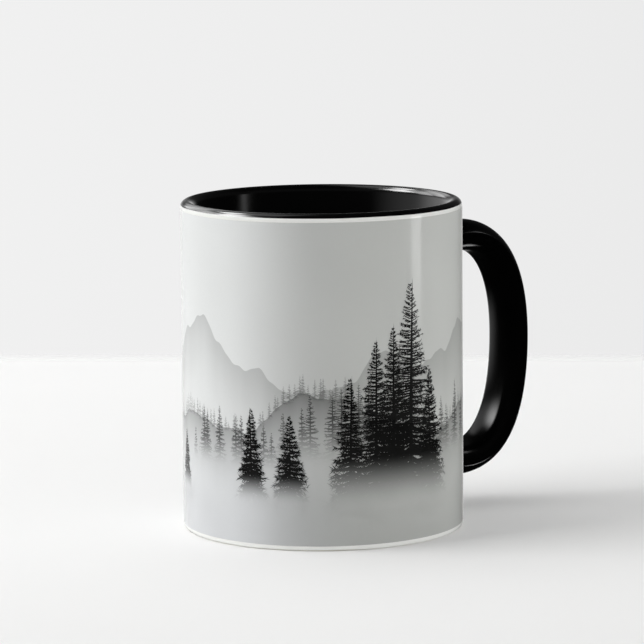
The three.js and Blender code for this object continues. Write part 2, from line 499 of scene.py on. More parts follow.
@dataclass(frozen=True)
class PrintFinish:
    """Gloss print: the colours of its layers under a clear film, with a faint grain in the tone."""

    name: str
    roughness: float
    uneven: float  # share by which the grain darkens the tone
    specular: float = 0.2
    grain: Cloud = Cloud(0.5 * MM, 2.0, 0.6)
    smear: Cloud = Cloud(16 * MM, 4.0, 0.6)
    wave: Cloud = Cloud(18 * MM)
    wave_depth: float = 0.012 * MM

    @cache
    def material(self) -> bpy.types.Material:
        """Makes the material at the first call.

        Returns:
            The material.
        """
        material, bench, shader = new_material(self.name)
        where = bench.place()
        ink = bench.node("ShaderNodeVertexColor", layer_name=INK).outputs["Color"]
        deep = rgba((1 - self.uneven,) * 3)
        grain = bench.mix(bench.noise(where, self.grain), deep, rgba((1.0, 1.0, 1.0)))
        bench.feed(shader.inputs["Base Color"], bench.mix(1.0, ink, grain, "MULTIPLY"))
        bench.feed(shader.inputs["Roughness"], bench.gloss(where, self.smear, self.roughness))
        waves = bench.bump(bench.noise(where, self.wave), self.wave_depth)
        bench.feed(shader.inputs["Normal"], waves)
        shader.inputs["Specular IOR Level"].default_value = self.specular
        return material


@dataclass(frozen=True)
class TableFinish:
    """Pale table top with a soft sheen, painted light that is darker at the front and brighter at the
    back, and a far edge that fades out.
    """

    name: str
    colour: Colour
    roughness: float = 0.55
    specular: float = 0.2
    cloud: Cloud = Cloud(60 * MM, 3.0)
    cloud_tone: float = 0.985  # factor on the colour where the cloud is darkest

    @cache
    def material(self) -> bpy.types.Material:
        """Makes the material at the first call.

        Returns:
            The material.
        """
        material, bench, shader = new_material(self.name)
        deep = rgba(scaled(self.colour, self.cloud_tone))
        colour = bench.mix(bench.noise(bench.place(), self.cloud), deep, rgba(self.colour))
        # painted light: a factor on the table's colour, darker at the front and brighter towards the
        # back
        tone = bench.node("ShaderNodeAttribute", attribute_name=PAINTED_LIGHT).outputs["Fac"]
        cover = bench.node("ShaderNodeAttribute", attribute_name=COVER).outputs["Fac"]
        clear = bench.node("ShaderNodeBsdfTransparent").outputs["BSDF"]
        bench.feed(shader.inputs["Base Color"], bench.mix(1.0, colour, tone, "MULTIPLY"))
        shader.inputs["Roughness"].default_value = self.roughness
        shader.inputs["Specular IOR Level"].default_value = self.specular
        blend = bench.node("ShaderNodeMixShader")
        for socket, source in zip(blend.inputs, (cover, clear, shader.outputs["BSDF"])):
            bench.feed(socket, source)
        output = material.node_tree.nodes["Material Output"]
        bench.feed(output.inputs["Surface"], blend.outputs["Shader"])
        return material


WHITE_GLAZE = GlazeFinish("white_glaze", (0.868, 0.873, 0.848), uneven=0.012, roughness=0.07)
LINER_GLAZE = GlazeFinish(
    "liner_black_glaze", (0.0007, 0.0007, 0.00073), uneven=0.25, roughness=0.17, specular=0.45
)
HANDLE_GLAZE = GlazeFinish(
    "handle_black_glaze", (0.0005, 0.0005, 0.00053), uneven=0.25, roughness=0.2, specular=0.12
)
# Bare clay whose colour is darker than the clay's own: it paints the shade in the crevice where the bare
# foot ring meets the table
BARE_CLAY_WITH_PAINTED_SHADE = ClayFinish("bare_clay", (0.62, 0.59, 0.52))
JOINT_SLIP = ClayFinish("joint_slip", (0.66, 0.62, 0.54), grain=Cloud(0.2 * MM, 3.0, 0.65))
PRINT = PrintFinish("gloss_print", roughness=0.1, uneven=0.035)
TABLE = TableFinish("table_top", (0.86, 0.86, 0.855))


# Cup

AROUND = 288  # columns of every surface that goes round the cup
HOLD = 0.25 * MM  # straight stretches get a row this far from each end, which keeps their shading flat
SHORTEST_HELD = 3 * HOLD  # shorter stretches get no rows
QUARTERS = (0.25, 0.5, 0.75)
LINE_WAVES = (2, 3, 5, 8, 13)  # round the cup, in an uneven line


def azimuths() -> np.ndarray:
    """Azimuth of each column round the cup, in radians from the handle."""
    return np.arange(AROUND) * (2 * math.pi / AROUND)


def arc(centre: Sequence[float], radius: float, start: object, end: object, steps: int) -> np.ndarray:
    """Points on an arc of the cup's half section.

    Point i is centre + radius (cos a, sin a), with a going from start to end in equal steps.

    Args:
        centre: Radius and height of the arc's centre.
        radius: The arc's own radius.
        start: First angle, one number or one for each azimuth.
        end: Last angle, likewise.
        steps: Number of steps.

    Returns:
        Radius and height of the points, by step and azimuth.
    """
    share = np.linspace(0.0, 1.0, steps + 1)[:, None]
    angle = np.radians(np.asarray(start) * (1 - share) + np.asarray(end) * share)
    angle = np.broadcast_to(angle, (steps + 1, AROUND))
    return np.stack([centre[0] + radius * np.cos(angle), centre[1] + radius * np.sin(angle)])


def point(radius: float, height: float) -> np.ndarray:
    """One point of the half section, the same at every azimuth."""
    return np.broadcast_to(np.array([radius, height])[:, None, None], (2, 1, AROUND))


def joined(*runs: np.ndarray) -> np.ndarray:
    """Runs of a half section end to end, with added rows on the straight stretches between them.

    Args:
        runs: Radius and height by row and azimuth.

    Returns:
        The half section, likewise.
    """
    laid = [runs[0]]
    for run in runs[1:]:
        start, end = laid[-1][:, -1:], run[:, :1]
        length = float(np.hypot(*(end - start)).mean())
        if length > SHORTEST_HELD:
            edge = HOLD / length
            share = np.array([edge, *QUARTERS, 1 - edge])[None, :, None]
            laid.append(start + (end - start) * share)
        laid.append(run)
    return np.concatenate(laid, axis=1)


def revolved(section: np.ndarray, closed: bool) -> Surface:
    """A half section carried round the cup's axis.

    The point at row i and azimuth a is (radius cos a, radius sin a, height).

    Args:
        section: Radius and height by row and azimuth.
        closed: Whether the section is a ring. Otherwise its first and last rows lie on the axis,
            and each shrinks to one point.

    Returns:
        The closed surface, facing out, with the cup's axis at x = 0.
    """
    radius, height = section
    turn = azimuths()
    points = np.stack([radius * np.cos(turn), radius * np.sin(turn), height], axis=-1)
    if closed:
        quads = grid_quads(len(radius), AROUND, True, True)
        return Surface(points.reshape(-1, 3), [quads]).facing_out()
    rings = points[1:-1].reshape(-1, 3)
    poles = np.stack([points[0, 0], points[-1, 0]])
    quads = grid_quads(len(radius) - 2, AROUND, False, True)
    first = np.arange(AROUND)
    after = (first + 1) % AROUND
    last = (len(radius) - 3) * AROUND
    low = np.stack([np.full(AROUND, len(rings)), after, first], axis=1)
    high = np.stack([np.full(AROUND, len(rings) + 1), last + first, last + after], axis=1)
    return Surface(np.concatenate([rings, poles]), [quads, low, high]).facing_out()


def wavering(amount: float, seed: int) -> np.ndarray:
    """A slow uneven line round the cup: the mean of a few sine waves of random phase.

    Args:
        amount: Its reach.
        seed: Of the random phases.

    Returns:
        How far it is off at each azimuth.
    """
    draw = np.random.default_rng(seed)
    waves = np.array(LINE_WAVES)[:, None]
    phase = draw.uniform(0, 2 * math.pi, (len(waves), 1))
    return amount * np.mean(np.sin(waves * azimuths() + phase), axis=0)


@dataclass
class Cup:
    """The straight cup: clay, the liner over its lip, the outer glaze and the glaze of its base."""

    axis: float  # x of the cup's axis
    wall: float  # radius over the outer glaze
    height: float
    floor: float  # height of the glazed floor inside
    recess: float  # height of the glazed ceiling under the cup
    rim_wall: float = 3.9 * MM
    base_wall: float = 5 * MM
    floor_fillet: float = 9 * MM
    foot_edge: float = 1.5 * MM
    foot_ring: float = 3.6 * MM
    foot_bare: float = 0.35 * MM
    foot_arris: float = 0.25 * MM  # soft inner corner of the bare ring
    recess_fillet: float = 1.2 * MM
    glaze: float = 0.35 * MM
    layer_gap: float = 0.05 * MM
    liner_lap: float = 1.22 * MM
    lap_waver: float = 2.4  # reach of the unevenness where the liner ends on the lip, in degrees
    lap_seed: int = 3
    wipe_waver: float = 7.2  # the same where the outer glaze was wiped off the foot
    wipe_seed: int = 4
    foot_steps: int = 14
    lap_steps: int = 8
    lip_steps: int = 32
    floor_steps: int = 28
    recess_steps: int = 10
    arris_steps: int = 5

    @classmethod
    def from_frame(cls) -> "Cup":
        """Takes radius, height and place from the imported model.

        Returns:
            The cup.
        """
        low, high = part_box("outer_glaze")
        liner_low, liner_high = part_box("liner_glaze")
        _, base_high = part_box("base_glaze")
        return cls(
            axis=(low[0] + high[0]) / 2,
            wall=(high[1] - low[1]) / 2,
            height=liner_high[2],
            floor=liner_low[2] + cls.glaze,
            recess=base_high[2] - cls.glaze,
        )

    @property
    def coat(self) -> float:
        """Depth of the clay under the finished glaze."""
        return self.glaze + self.layer_gap

    @property
    def lip(self) -> float:
        """Radius of the full round at the top of the wall."""
        return self.rim_wall / 2

    @property
    def lip_centre(self) -> tuple[float, float]:
        """Centre of the lip's round."""
        return (self.wall - self.lip, self.height - self.lip)

    @property
    def foot_centre(self) -> tuple[float, float]:
        """Centre of the round at the outside of the foot."""
        return (self.wall - self.foot_edge, self.foot_edge - self.coat)

    @property
    def recess_wall(self) -> float:
        """Radius of the glazed wall of the recess under the cup."""
        return self.wall - self.foot_edge - self.foot_ring - self.coat

    def lap(self) -> np.ndarray:
        """Angle on the lip where the liner glaze ends, at each azimuth."""
        angle = math.degrees(math.asin(1 - self.liner_lap / self.lip))
        return angle + wavering(self.lap_waver, self.lap_seed)

    def wipe(self) -> np.ndarray:
        """Angle on the foot's round where the outer glaze was wiped off, at each azimuth."""
        height = (self.foot_bare - self.foot_centre[1]) / self.foot_edge
        return math.degrees(math.asin(height)) + wavering(self.wipe_waver, self.wipe_seed)

    def outside(self, depth: float, foot_start: object, lip_end: object) -> np.ndarray:
        """Half section of the outside: foot round, wall and lip.

        Args:
            depth: Under the finished glaze.
            foot_start: Angle on the foot's round where it starts, one number or one for each azimuth.
            lip_end: Angle on the lip where it ends, likewise.

        Returns:
            Radius and height by row and azimuth.
        """
        foot = arc(self.foot_centre, self.foot_edge - depth, foot_start, 0.0, self.foot_steps)
        lip = arc(self.lip_centre, self.lip - depth, 0.0, lip_end, self.lap_steps)
        return joined(foot, lip)

    def inside(self, depth: float, lip_start: object) -> np.ndarray:
        """Half section of the inside: lip, wall, floor fillet and floor.

        Args:
            depth: Under the finished glaze.
            lip_start: Angle on the lip where it starts, one number or one for each azimuth.

        Returns:
            Radius and height by row and azimuth.
        """
        over = arc(self.lip_centre, self.lip - depth, lip_start, 180.0, self.lip_steps)
        centre = (self.wall - self.base_wall - self.floor_fillet, self.floor + self.floor_fillet)
        fillet = arc(centre, self.floor_fillet + depth, 0.0, -90.0, self.floor_steps)
        return joined(over, fillet, point(0.0, self.floor - depth))

    def underside(self, depth: float) -> np.ndarray:
        """Half section of the recess at a depth under the finished glaze: ceiling and fillet."""
        centre = (self.recess_wall - self.recess_fillet, self.recess - self.recess_fillet)
        fillet = arc(centre, self.recess_fillet + depth, 90.0, 0.0, self.recess_steps)
        return joined(point(0.0, self.recess + depth), fillet)

    def clay_surface(self) -> Surface:
        """The clay: the glazed outlines set back by the coat, and the bare ring that it stands on."""
        arris = (self.recess_wall + self.coat + self.foot_arris, self.foot_arris)
        section = joined(
            self.underside(self.coat),
            arc(arris, self.foot_arris, 180.0, 270.0, self.arris_steps),
            self.outside(self.coat, -90.0, self.lap()),
            self.inside(self.coat, self.lap())[:, 1:],
        )
        return revolved(section, closed=False)

    def liner_surface(self) -> Surface:
        """The liner glaze: its inner face from the axis up to the lap, then its finished face back."""
        back = self.inside(self.glaze, self.lap())[:, ::-1]
        return revolved(np.concatenate([back, self.inside(0.0, self.lap())], axis=1), closed=False)

    def outer_surface(self) -> Surface:
        """The outer glaze: its finished face from the foot to the lap, then its inner face back."""
        front = self.outside(0.0, self.wipe(), self.lap())
        back = self.outside(self.glaze, self.wipe(), self.lap())[:, ::-1]
        return revolved(np.concatenate([front, back], axis=1), closed=True)

    def base_surface(self) -> Surface:
        """The base glaze: its finished face from the axis to the wall, then its inner face back."""
        back = self.underside(self.glaze)[:, ::-1]
        return revolved(np.concatenate([self.underside(0.0), back], axis=1), closed=False)

    def build(self) -> None:
        """Builds and dresses the cup's four pieces."""
        white = WHITE_GLAZE.material()
        pieces = (
            ("cup_clay", self.clay_surface(), BARE_CLAY_WITH_PAINTED_SHADE.material(), Slot.BISQUE, "ceramic_body"),
            ("cup_liner", self.liner_surface(), LINER_GLAZE.material(), Slot.BLACK_GLAZE, "liner_glaze"),
            ("cup_outer_glaze", self.outer_surface(), white, Slot.WHITE_GLAZE, "outer_glaze"),
            ("cup_base_glaze", self.base_surface(), white, Slot.WHITE_GLAZE, "base_glaze"),
        )
        for name, surface, material, slot, node in pieces:
            surface.points[:, 0] += self.axis
            dress(surface.build(name), material, slot, node)


# Printed wrap

LEAST_TURN = 1e-3  # in radians, for strokes that are all but straight
TAPER = 0.7  # power of a stroke's width along its way to the tip


@dataclass
class Strokes:
    """Tapered brush strokes on the unrolled wrap, each along an arc of a circle.

    A stroke starts at its root along its heading and turns steadily as it goes.
    """

    root: np.ndarray  # along the wrap and up
    heading: np.ndarray
    turn: np.ndarray
    length: np.ndarray
    width: np.ndarray

    def at(self, share: np.ndarray) -> np.ndarray:
        """Places at shares of the strokes' lengths.

        With heading h, turn b and length l, the place at share t is
        root + l / b (sin(h + b t) - sin h, cos h - cos(h + b t)).

        Args:
            share: One row of shares for each stroke.

        Returns:
            Places by stroke and share.
        """
        turn = np.where(np.abs(self.turn) < LEAST_TURN, LEAST_TURN, self.turn)[:, None]
        start = self.heading[:, None]
        ahead = start + turn * share
        reach = self.length[:, None] / turn
        run = np.stack([np.sin(ahead) - np.sin(start), np.cos(start) - np.cos(ahead)], axis=-1)
        return self.root[:, None, :] + reach[..., None] * run

    def outline(self, steps: int) -> tuple[np.ndarray, list[np.ndarray]]:
        """Outlines of all strokes.

        At share t a stroke is its width times a power of 1 - t across, square to its heading there,
        and its two edges meet at the tip.

        Args:
            steps: Steps along each stroke.

        Returns:
            Points by stroke, two for each step and one for the tip, and the faces.
        """
        count = len(self.length)
        share = np.broadcast_to(np.linspace(0.0, 1.0, steps + 1), (count, steps + 1))
        spine = self.at(share)
        ahead = self.heading[:, None] + self.turn[:, None] * share
        half = self.width[:, None] / 2 * (1.0 - share) ** TAPER
        aside = half[..., None] * np.stack([-np.sin(ahead), np.cos(ahead)], axis=-1)
        edges = np.stack([spine - aside, spine + aside], axis=2)[:, :-1].reshape(count, 2 * steps, 2)
        points = np.concatenate([edges, spine[:, -1:]], axis=1)
        first = (np.arange(count) * (2 * steps + 1))[:, None, None]
        step = (2 * np.arange(steps - 1))[None, :, None]
        quads = (first + step + np.array([0, 2, 3, 1])).reshape(-1, 4)
        tips = (first[:, 0] + 2 * steps - 2 + np.array([0, 2, 1])).reshape(-1, 3)
        return points, [quads, tips] if steps > 1 else [tips]


class Row(Enum):
    """Rows of pines in the print, from the back of the valley to the front."""

    FAR = "far"
    MIDDLE = "middle"
    NEAR = "near"


@dataclass(frozen=True)
class PineStyle:
    """How the pines of one row are drawn.

    A bough's share is its distance from the top against the pine's height, so "top" sizes hold at
    share 0. A scatter of two numbers is a factor drawn evenly between them, and a scatter of one
    number is the spread of a normal draw.
    """

    tier_gap: float  # height between two tiers of boughs
    spread: float  # half width of the tree's foot against its height
    bough_width: float
    needles: int  # on each bough
    needle: float  # length of the longest needles
    tone: float  # of the ink, against the paper behind it
    mist: float  # share of the height, from the foot up, that fades into the mist
    lift: float  # of its lowest stroke over the film
    stack: float  # between its lowest and highest stroke
    least_tiers: int = 6
    spread_scatter: Span = (0.85, 1.15)
    top_slope: float = 38.0  # of a bough over level, in degrees
    slope_fall: float = 64.0  # from the top to the foot
    slope_power: float = 0.55
    slope_scatter: float = 7.0
    top_curl: float = 6.0  # turn of a bough up to its tip, in degrees
    curl_gain: float = 16.0  # from the top to the foot
    curl_scatter: float = 8.0
    top_length: float = 0.03  # of a bough, against the foot's
    length_power: float = 0.85
    length_scatter: Span = (0.5, 1.1)
    top_width: float = 0.2  # of a bough, against the foot's
    width_scatter: Span = (0.7, 1.2)
    trunk_height: float = 1.03  # against the pine's
    trunk_width: float = 0.026  # against the pine's height
    trunk_least: float = 0.15 * MM  # added to that width
    trunk_scatter: float = 0.02  # of its turn, in radians
    needle_places: Span = (0.06, 1.0)  # along a bough
    needle_down: float = 0.76  # share of the needles that point down
    needle_up: float = -0.7  # factor on the angle of the others
    needle_angles: Span = (20.0, 70.0)  # from the bough, in degrees
    needle_top: float = 0.14  # length at the top, against the foot's
    needle_scatter: Span = (0.35, 1.0)
    needle_turn: float = 0.25  # scatter of its turn, in radians
    needle_width: float = 0.14  # against its length
    needle_least: float = 0.09 * MM  # added to that width

    def pine(self, foot: np.ndarray, height: float, draw: np.random.Generator) -> list[Strokes]:
        """Strokes of one pine: boughs, trunk and needles.

        Boughs go up both sides of the trunk at uneven gaps. A bough's length grows with its share,
        and its heading goes from rising at the top to hanging at the foot, with a tip that turns up.

        Args:
            foot: Its foot on the unrolled wrap.
            height: Its height.
            draw: Source of random numbers.

        Returns:
            Boughs, trunk and needles.
        """
        tiers = max(int(height / self.tier_gap), self.least_tiers)
        count = 2 * tiers
        side = np.repeat([1.0, -1.0], tiers)
        share = (np.tile(np.arange(tiers), 2) + draw.uniform(0.0, 1.0, count)) / tiers
        slope = self.top_slope - self.slope_fall * share**self.slope_power
        slope = np.radians(slope + draw.normal(0, self.slope_scatter, count))
        curl = self.top_curl + self.curl_gain * share
        curl = np.radians(curl + draw.normal(0, self.curl_scatter, count))
        spread = self.spread * height * draw.uniform(*self.spread_scatter)
        longer = self.top_length + (1 - self.top_length) * share**self.length_power
        wider = self.top_width + (1 - self.top_width) * share
        boughs = Strokes(
            root=foot + np.stack([np.zeros(count), height * (1 - share)], axis=1),
            heading=np.where(side > 0, slope, math.pi - slope),
            turn=side * curl,
            length=spread * longer * draw.uniform(*self.length_scatter, count),
            width=self.bough_width * wider * draw.uniform(*self.width_scatter, count),
        )
        trunk = Strokes(
            root=foot[None, :],
            heading=np.array([math.pi / 2]),
            turn=draw.normal(0, self.trunk_scatter, 1),
            length=np.array([height * self.trunk_height]),
            width=np.array([height * self.trunk_width + self.trunk_least]),
        )
        return [boughs, trunk, self.needles_on(boughs, side, share, draw)]

    def needles_on(
        self, boughs: Strokes, side: np.ndarray, share: np.ndarray, draw: np.random.Generator
    ) -> Strokes:
        """Needles along the boughs of a pine, at random places, most of them downwards.

        Args:
            boughs: The boughs.
            side: 1 for each bough on the right, -1 on the left.
            share: Share of each bough.
            draw: Source of random numbers.

        Returns:
            The needles.
        """
        shape = (len(side), self.needles)
        where = draw.uniform(*self.needle_places, shape)
        down = np.where(draw.uniform(size=shape) < self.needle_down, 1.0, self.needle_up)
        ahead = boughs.heading[:, None] + boughs.turn[:, None] * where
        angle = np.radians(draw.uniform(*self.needle_angles, shape))
        longer = self.needle_top + (1 - self.needle_top) * share[:, None]
        length = self.needle * longer * draw.uniform(*self.needle_scatter, shape)
        return Strokes(
            root=boughs.at(where).reshape(-1, 2),
            heading=(ahead - side[:, None] * down * angle).ravel(),
            turn=draw.normal(0, self.needle_turn, shape).ravel(),
            length=length.ravel(),
            width=(self.needle_width * length + self.needle_least).ravel(),
        )


STYLES = {
    Row.FAR: PineStyle(0.42 * MM, 0.22, 0.5 * MM, 5, 0.7 * MM, 0.52, 0.35, 0.012 * MM, 0.003 * MM),
    Row.MIDDLE: PineStyle(0.6 * MM, 0.2, 0.8 * MM, 10, 1.4 * MM, 0.24, 0.7, 0.018 * MM, 0.008 * MM),
    Row.NEAR: PineStyle(0.52 * MM, 0.21, 0.95 * MM, 26, 2.7 * MM, 0.02, 0.3, 0.03 * MM, 0.016 * MM),
}
STROKE_STEPS = (5, 24, 1)  # along a bough, a trunk and a needle
MIST_FOOT = -0.02  # share of the height at which the mist hides all


@dataclass(frozen=True)
class Paper:
    """Colour of the sky and the mist, by bearing in degrees from the handle and by height.

    The tone is lighter on a broad glow and on two fainter ones at the film's ends, a little darker
    low down, and drifts with a few long waves. It is warm, and cooler in the glow. Each pair of
    bearings or heights is where a rise starts and where it is complete.
    """

    tone: float = 0.555
    glow: float = 0.21  # added to the tone
    glow_start: Span = (108.0, 142.0)
    glow_end: Span = (231.0, 190.0)
    end_glow: float = 0.3  # against the broad glow
    end_glows: tuple[Span, Span] = ((266.0, 308.0), (60.0, 24.0))
    dusk: float = 0.11  # taken off the tone low down
    dusk_heights: Span = (42 * MM, 4 * MM)
    drift: float = 0.008
    drift_turns: Span = (7.0, 17.0)  # degrees to a radian of its two waves
    drift_rises: Span = (9 * MM, -15 * MM)  # heights to a radian of them
    red: float = 0.982  # against green
    blue: float = 0.963
    cool: float = 0.03  # added to blue in the glow
    cool_dusk: float = 0.025  # added to that low down
    cool_bearings: Span = (256.0, 196.0)

    def colour(self, bearing: np.ndarray, height: np.ndarray) -> np.ndarray:
        """Colours of places on the wrap.

        Args:
            bearing: Their bearings.
            height: Their heights.

        Returns:
            Their colours.
        """
        glow = smooth_step(bearing, *self.glow_start) * smooth_step(bearing, *self.glow_end)
        for span in self.end_glows:
            glow = glow + self.end_glow * smooth_step(bearing, *span)
        low = smooth_step(height, *self.dusk_heights)
        waves = zip(self.drift_turns, self.drift_rises)
        drift = math.prod(np.sin(bearing / turn + height / rise) for turn, rise in waves)
        tone = self.tone + self.glow * glow - self.dusk * low + self.drift * drift
        cool = smooth_step(bearing, *self.cool_bearings) * (self.cool + self.cool_dusk * low)
        tint = np.stack([np.full_like(cool, self.red), np.ones_like(cool), self.blue + cool], axis=-1)
        return tone[..., None] * tint


PAPER = Paper()
RIDGE_WAVES = (3, 5, 8, 14, 23, 40, 71)  # round the cup
RIDGE_FALL = 1.1  # power by which shorter waves are weaker
VEIL_POWER = 1.5


@dataclass(frozen=True)
class Ridge:
    """A hazy ridge of the print: a crest line and a shade that fades down from it into the mist."""

    name: str
    seed: int  # of the crest's random phases
    crest: float  # mean height of the crest
    swing: float  # reach of its ups and downs
    depth: float  # height over which the shade fades
    tone: float  # at the crest, against what lies behind
    lift: float  # over the film's face

    def line(self, bearing: np.ndarray) -> np.ndarray:
        """Height of the crest: its mean plus sine waves of falling strength and random phase.

        Args:
            bearing: Bearings, in degrees from the handle.

        Returns:
            The heights.
        """
        draw = np.random.default_rng(self.seed)
        waves = np.array(RIDGE_WAVES)
        phase = draw.uniform(0, 2 * math.pi, waves.shape)
        strength = 1.0 / waves**RIDGE_FALL
        swell = np.sin(np.radians(bearing)[..., None] * waves + phase) @ strength
        return self.crest + self.swing * swell / strength.sum()

    def veil(self, bearing: np.ndarray, height: np.ndarray) -> np.ndarray:
        """Factor on the tone behind it: the ridge's own at the crest, up to 1 along a power curve."""
        share = np.clip(1 - (self.line(bearing) - height) / self.depth, 0.0, 1.0)
        return 1 - (1 - self.tone) * share**VEIL_POWER


RIDGES = (
    Ridge("print_far_ridge", 5, 53 * MM, 15 * MM, 26 * MM, 0.72, 0.004 * MM),
    Ridge("print_near_ridge", 8, 38 * MM, 10 * MM, 20 * MM, 0.5, 0.008 * MM),
)


@dataclass(frozen=True)
class Grove:
    """A stand of pines in one row of the print, tallest in its middle."""

    row: Row
    bearing: float  # of its middle, in degrees from the handle
    reach: float  # half its width, in degrees
    count: int
    foot: float  # height of its feet, or of a far grove's feet over the near ridge's crest
    tallest: float
    place_scatter: float = 0.35  # of a pine to either side, against the gap between two
    edge_turn: float = 1.1  # angle at its ends of the cosine that its heights follow, in radians
    edge_height: float = 0.45  # share of a pine's height that doesn't follow it
    height_scatter: Span = (0.68, 1.0)
    foot_scatter: float = 2.5  # of a pine's foot up and down, in tiers

    def bearings(self, draw: np.random.Generator) -> np.ndarray:
        """Bearings of its pines: even steps, each with a random shift.

        Args:
            draw: Source of random numbers.

        Returns:
            The bearings.
        """
        gap = 2 * self.reach / (self.count - 1)
        places = np.linspace(-self.reach, self.reach, self.count)
        return self.bearing + places + draw.uniform(-1.0, 1.0, self.count) * self.place_scatter * gap

    def heights(self, draw: np.random.Generator) -> np.ndarray:
        """Heights of its pines: a cosine from its middle to its ends, times a random factor.

        Args:
            draw: Source of random numbers.

        Returns:
            The heights.
        """
        fall = np.cos(np.linspace(-self.edge_turn, self.edge_turn, self.count))
        shape = self.edge_height + (1 - self.edge_height) * fall
        return self.tallest * shape * draw.uniform(*self.height_scatter, self.count)


GROVES = (
    Grove(Row.FAR, 63, 41, 40, -1.2 * MM, 7 * MM),
    Grove(Row.FAR, 150, 46, 44, -1.2 * MM, 6.5 * MM),
    Grove(Row.FAR, 236, 38, 38, -1.2 * MM, 7 * MM),
    Grove(Row.FAR, 296, 22, 20, -1.2 * MM, 6.5 * MM),
    Grove(Row.MIDDLE, 53, 27, 10, 25 * MM, 24 * MM),
    Grove(Row.MIDDLE, 118, 26, 8, 24 * MM, 19 * MM),
    Grove(Row.MIDDLE, 190, 22, 8, 23 * MM, 20 * MM),
    Grove(Row.MIDDLE, 240, 24, 9, 25 * MM, 26 * MM),
    Grove(Row.MIDDLE, 300, 13, 5, 24 * MM, 25 * MM),
    Grove(Row.NEAR, 45, 16, 4, 13 * MM, 58 * MM),
    Grove(Row.NEAR, 95, 18, 4, 14 * MM, 46 * MM),
    Grove(Row.NEAR, 150, 9, 2, 14 * MM, 34 * MM),
    Grove(Row.NEAR, 214, 8, 2, 14 * MM, 38 * MM),
    Grove(Row.NEAR, 262, 17, 5, 13 * MM, 69 * MM),
    Grove(Row.NEAR, 328, 5, 2, 14 * MM, 40 * MM),
)


